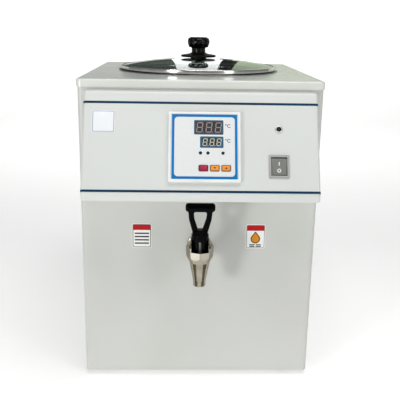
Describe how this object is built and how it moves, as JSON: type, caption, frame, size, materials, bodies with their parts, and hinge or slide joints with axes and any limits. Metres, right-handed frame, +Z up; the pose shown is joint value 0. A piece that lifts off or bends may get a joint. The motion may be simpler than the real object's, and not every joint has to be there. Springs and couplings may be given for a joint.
{
  "type": "paraffin wax dispenser",
  "caption": "Bench-top wax melting pot with a glass lid, in a steel casing with a slanted control box and a self-closing tap below it.",
  "frame": {"origin": "middle of the footprint, at the height of the bench that the feet stand on", "axes": "+X to the viewer's right across the front, +Y from the tap to the rear panel, +Z up"},
  "size_m": [0.3442, 0.458, 0.5015],
  "materials": {
    "casing_paint": "satin powder coat, light grey",
    "cover_paint": "gloss powder coat, off-white",
    "box_paint": "satin powder coat, off-white",
    "stripe_paint": "gloss navy film",
    "bare_plate": "brushed",
    "label_film": "printed film",
    "stainless": "brushed",
    "polished_steel": "polished",
    "zinc_steel": "zinc plated",
    "feet_rubber": "matte black",
    "silicone": "matte translucent white",
    "heater_silicone": "matte brick red",
    "insulation": "glass-fibre felt",
    "lid_glass_clear": "clear",
    "black_plastic": "gloss black",
    "controller_plastic": "ivory",
    "controller_case_plastic": "black",
    "faceplate_blue": "printed film, blue edge",
    "window_tint": "tinted",
    "led_resin": "dark tinted resin",
    "board_laminate": "green laminate",
    "key_crimson": "crimson",
    "key_orange": "orange",
    "terminal_plastic": "natural",
    "lens_resin": "tinted, clear",
    "rocker_plastic": "grey",
    "switch_plastic": "black",
    "brass_plated": "plain",
    "anodised": "black anodised",
    "cast_aluminium": "plain",
    "fuse_glass": "clear",
    "lead_sleeve": "silicone sleeve"
  },
  "bodies": {
    "cabinet": {"casing_wrap": "casing_paint", "rear_panel": "casing_paint", "base_plate": "casing_paint", "top_cover": "cover_paint", "casing_screws": "zinc_steel", "rubber_feet": "feet_rubber", "control_box": "box_paint", "accent_stripes": "stripe_paint", "blank_plate": "bare_plate", "front_labels": "label_film", "controller_bezel": "controller_plastic", "controller_housing": "controller_case_plastic", "controller_faceplate": "faceplate_blue", "display_windows": "window_tint", "pilot_leds": "led_resin", "circuit_board": "board_laminate", "controller_terminals": "terminal_plastic", "controller_clamps": "zinc_steel", "indicator_bezel": "polished_steel", "indicator_lens": "lens_resin", "indicator_nut": "zinc_steel", "rocker_housing": "switch_plastic", "pot": "stainless", "strainer": "stainless", "pot_heater": "heater_silicone", "insulation_jacket": "insulation", "temperature_probe": "stainless", "thermal_cutout": "terminal_plastic", "outlet_pipe": "stainless", "outlet_coupling": "stainless", "outlet_heater": "cast_aluminium", "tap_body": "polished_steel", "tap_bonnet": "polished_steel", "panel_flange": "polished_steel", "panel_gasket": "silicone", "shank_nut": "stainless", "mains_inlet": "switch_plastic", "contact_blades": "brass_plated", "relay_heat_sink": "anodised", "solid_state_relay": "switch_plastic", "terminal_block": "terminal_plastic", "internal_leads": "lead_sleeve"},
    "lid": {"lid_glass": "lid_glass_clear", "lid_rim": "stainless", "lid_seal": "silicone", "lid_knob": "black_plastic", "knob_skirt": "black_plastic", "knob_screw": "stainless", "knob_washers": "silicone"},
    "tap_valve": {"tap_stem": "stainless", "seat_cup": "silicone", "handle_pin": "stainless", "tap_spring": "stainless"},
    "handle": {"tap_handle": "black_plastic"},
    "rocker": {"rocker": "rocker_plastic"},
    "key_red": {"key_red": "key_crimson"},
    "key_down": {"key_down": "key_orange"},
    "key_up": {"key_up": "key_orange"},
    "fuse_drawer": {"fuse_drawer": "switch_plastic", "fuse": "fuse_glass"}
  },
  "joints": [
    {"name": "lid_lift", "type": "slide", "parent": "cabinet", "child": "lid", "axis": [0, 0, 1], "range_m": [0, 0.12]},
    {"name": "stem_lift", "type": "slide", "parent": "cabinet", "child": "tap_valve", "axis": [0, 0, 1], "range_m": [0, 0.004], "stiffness_N_per_m": 1500, "springref_m": -0.006, "deforming": ["tap_spring"]},
    {"name": "handle_tilt", "type": "hinge", "parent": "tap_valve", "child": "handle", "pos_m": [0, -0.20995, 0.2323], "axis": [1, 0, 0], "range_deg": [0, 55]},
    {"name": "rocker_throw", "type": "hinge", "parent": "cabinet", "child": "rocker", "pos_m": [0.1031, -0.20498, 0.34023], "axis": [-1, 0, 0], "range_deg": [0, 14]},
    {"name": "key_red_press", "type": "slide", "parent": "cabinet", "child": "key_red", "axis": [0, 0.8995, -0.437], "range_m": [0, 0.0008], "stiffness_N_per_m": 400},
    {"name": "key_down_press", "type": "slide", "parent": "cabinet", "child": "key_down", "axis": [0, 0.8995, -0.437], "range_m": [0, 0.0008], "stiffness_N_per_m": 400},
    {"name": "key_up_press", "type": "slide", "parent": "cabinet", "child": "key_up", "axis": [0, 0.8995, -0.437], "range_m": [0, 0.0008], "stiffness_N_per_m": 400},
    {"name": "fuse_drawer_slide", "type": "slide", "parent": "cabinet", "child": "fuse_drawer", "axis": [0, 1, 0], "range_m": [0, 0.022]}
  ],
  "couplings": [
    {"joint": "handle_tilt", "follows": "stem_lift", "rad_per_m": 239.98}
  ]
}
